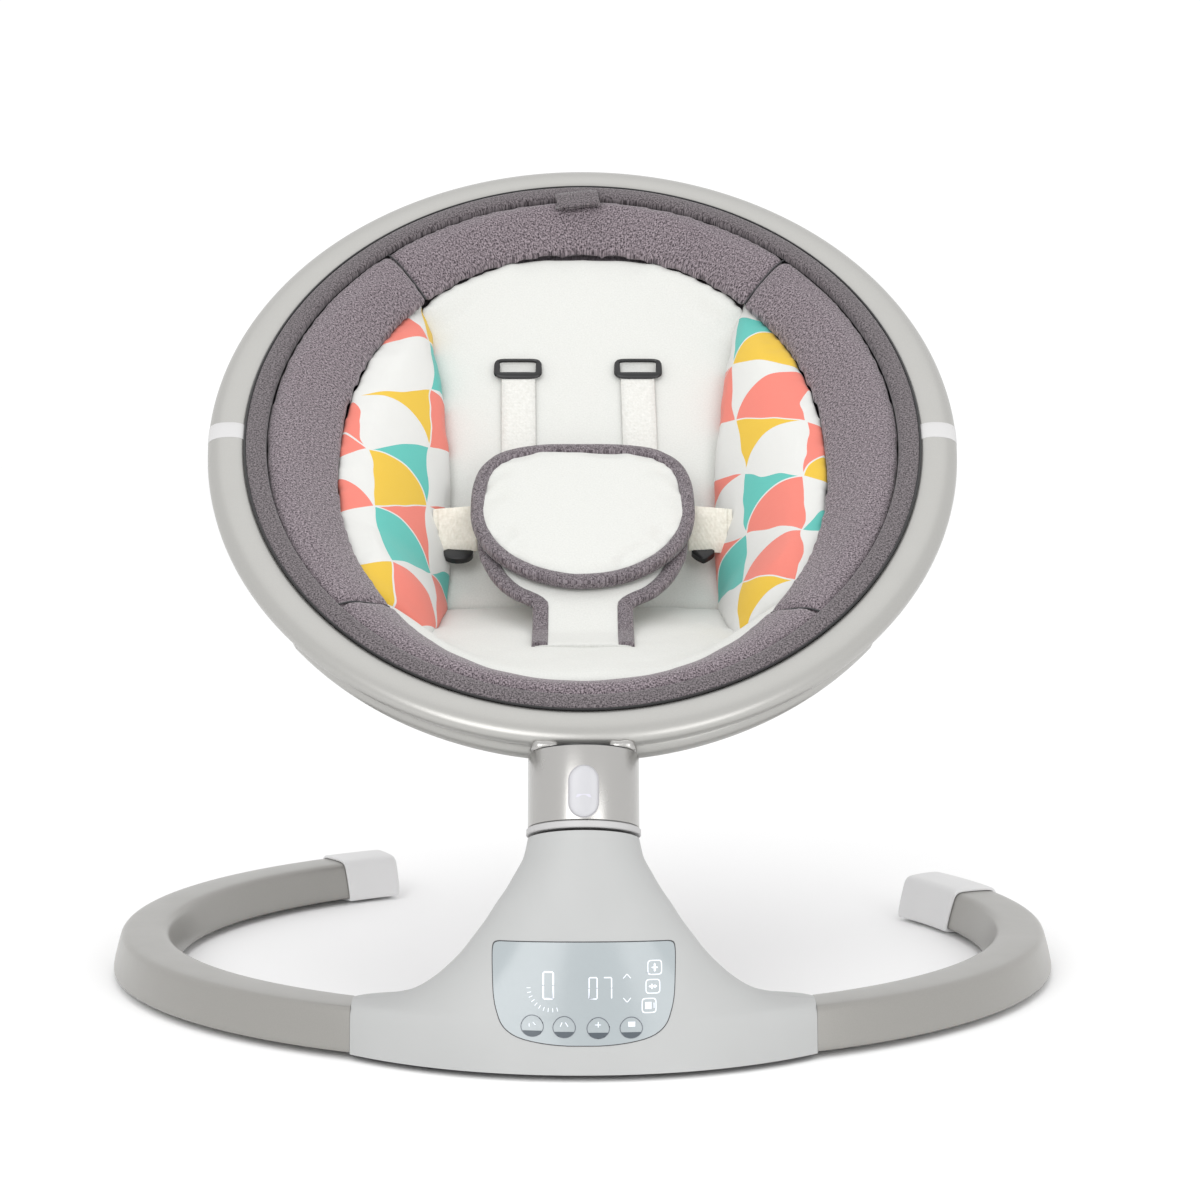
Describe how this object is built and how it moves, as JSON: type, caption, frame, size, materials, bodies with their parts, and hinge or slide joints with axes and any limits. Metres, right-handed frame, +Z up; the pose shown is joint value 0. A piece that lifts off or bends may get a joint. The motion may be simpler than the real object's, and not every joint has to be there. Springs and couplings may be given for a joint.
{
  "type": "baby swing",
  "caption": "Electric baby swing: padded oval seat on a leaning turret, display hub and a C-shaped tube base; the seat swings side to side and lifts off.",
  "frame": {"origin": "on the floor under the middle of the part's bounding box", "axes": "+X to the right seen from the front, +Y from the foot end to the head end of the seat, +Z up"},
  "size_m": [0.6697, 0.6312, 0.5858],
  "materials": {
    "base_tube_paint": "satin grey paint",
    "foot_cap_plastic": "satin",
    "pad_rubber": "matt",
    "plug_plastic": "matt",
    "hub_plastic": "matt",
    "plate_plastic": "matt",
    "screw_steel": "plain",
    "display_plastic": "gloss",
    "board": "matt",
    "speaker_black": "matt",
    "socket_black": "matt",
    "post_plastic": "matt",
    "coil_copper": "wound copper wire",
    "carrier_plastic": "matt",
    "bearing_steel": "polished",
    "spindle_steel": "turned",
    "clip_steel": "dark",
    "arm_steel": "pressed",
    "magnet_nickel": "nickel plated",
    "collar_plastic": "satin",
    "neck_paint": "satin silver",
    "core_plastic": "matt",
    "spring_steel": "plain",
    "button_plastic": "satin",
    "ring_paint": "satin silver",
    "joint_plastic": "satin",
    "carrier_black": "matt",
    "binding_fabric": "dark heather weave",
    "pad_fabric": "grey heather weave",
    "white_fabric": "soft white knit",
    "print_fabric": null,
    "bag_fabric": "grey weave",
    "webbing_white": "flat webbing",
    "guide_plastic": "gloss black",
    "webbing_cream": "flat webbing"
  },
  "bodies": {
    "base": {"base_tube_left": "base_tube_paint", "base_tube_right": "base_tube_paint", "foot_cap_left": "foot_cap_plastic", "foot_cap_right": "foot_cap_plastic", "floor_pads": "pad_rubber", "tube_end_plugs": "plug_plastic", "hub_front_shell": "hub_plastic", "hub_rear_shell": "hub_plastic", "hub_bottom_plate": "plate_plastic", "hub_screws": "screw_steel", "display_lens": "display_plastic", "display_board": "board", "main_board": "board", "speaker": "speaker_black", "dc_inlet": "socket_black", "coil_post": "post_plastic", "drive_coil": "coil_copper", "bearing_carrier": "carrier_plastic", "bearing_upper": "bearing_steel", "bearing_lower": "bearing_steel"},
    "turret": {"swing_spindle": "spindle_steel", "spindle_clip": "clip_steel", "magnet_arm": "arm_steel", "drive_magnet": "magnet_nickel", "turret_collar": "collar_plastic"},
    "seat": {"neck_sleeve": "neck_paint", "neck_core": "core_plastic", "neck_saddle": "neck_paint", "latch_pawl": "arm_steel", "latch_spring": "spring_steel", "ring_tube_upper": "ring_paint", "ring_tube_lower": "ring_paint", "ring_joint_left": "joint_plastic", "ring_joint_right": "joint_plastic", "support_tube_left": "ring_paint", "support_tube_right": "ring_paint", "rim_carrier": "carrier_black", "rim_binding": "binding_fabric", "pad_top": "pad_fabric", "pad_left": "pad_fabric", "pad_right": "pad_fabric", "pad_bottom": "pad_fabric", "back_panel": "white_fabric", "seat_panel": "white_fabric", "bolster_left": "print_fabric", "bolster_right": "print_fabric", "seat_bag": "bag_fabric", "harness_pad": "white_fabric", "crotch_piece": "white_fabric", "shoulder_straps": "webbing_white", "strap_guides": "guide_plastic", "waist_straps": "webbing_cream", "waist_adjusters": "guide_plastic", "top_loop": "binding_fabric"},
    "release_button": {"release_button": "button_plastic"}
  },
  "joints": [
    {"name": "seat_swing", "type": "hinge", "parent": "base", "child": "turret", "pos_m": [0, -0.238, 0.133], "axis": [0, 0.342, 0.9397], "range_deg": [-14, 14]},
    {"name": "seat_lift_off", "type": "slide", "parent": "turret", "child": "seat", "axis": [0, 0.342, 0.9397], "range_m": [0, 0.06]},
    {"name": "release_press", "type": "slide", "parent": "seat", "child": "release_button", "axis": [0, 0.9397, -0.342], "range_m": [0, 0.0035], "stiffness_N_per_m": 400, "springref_m": -0.001}
  ]
}
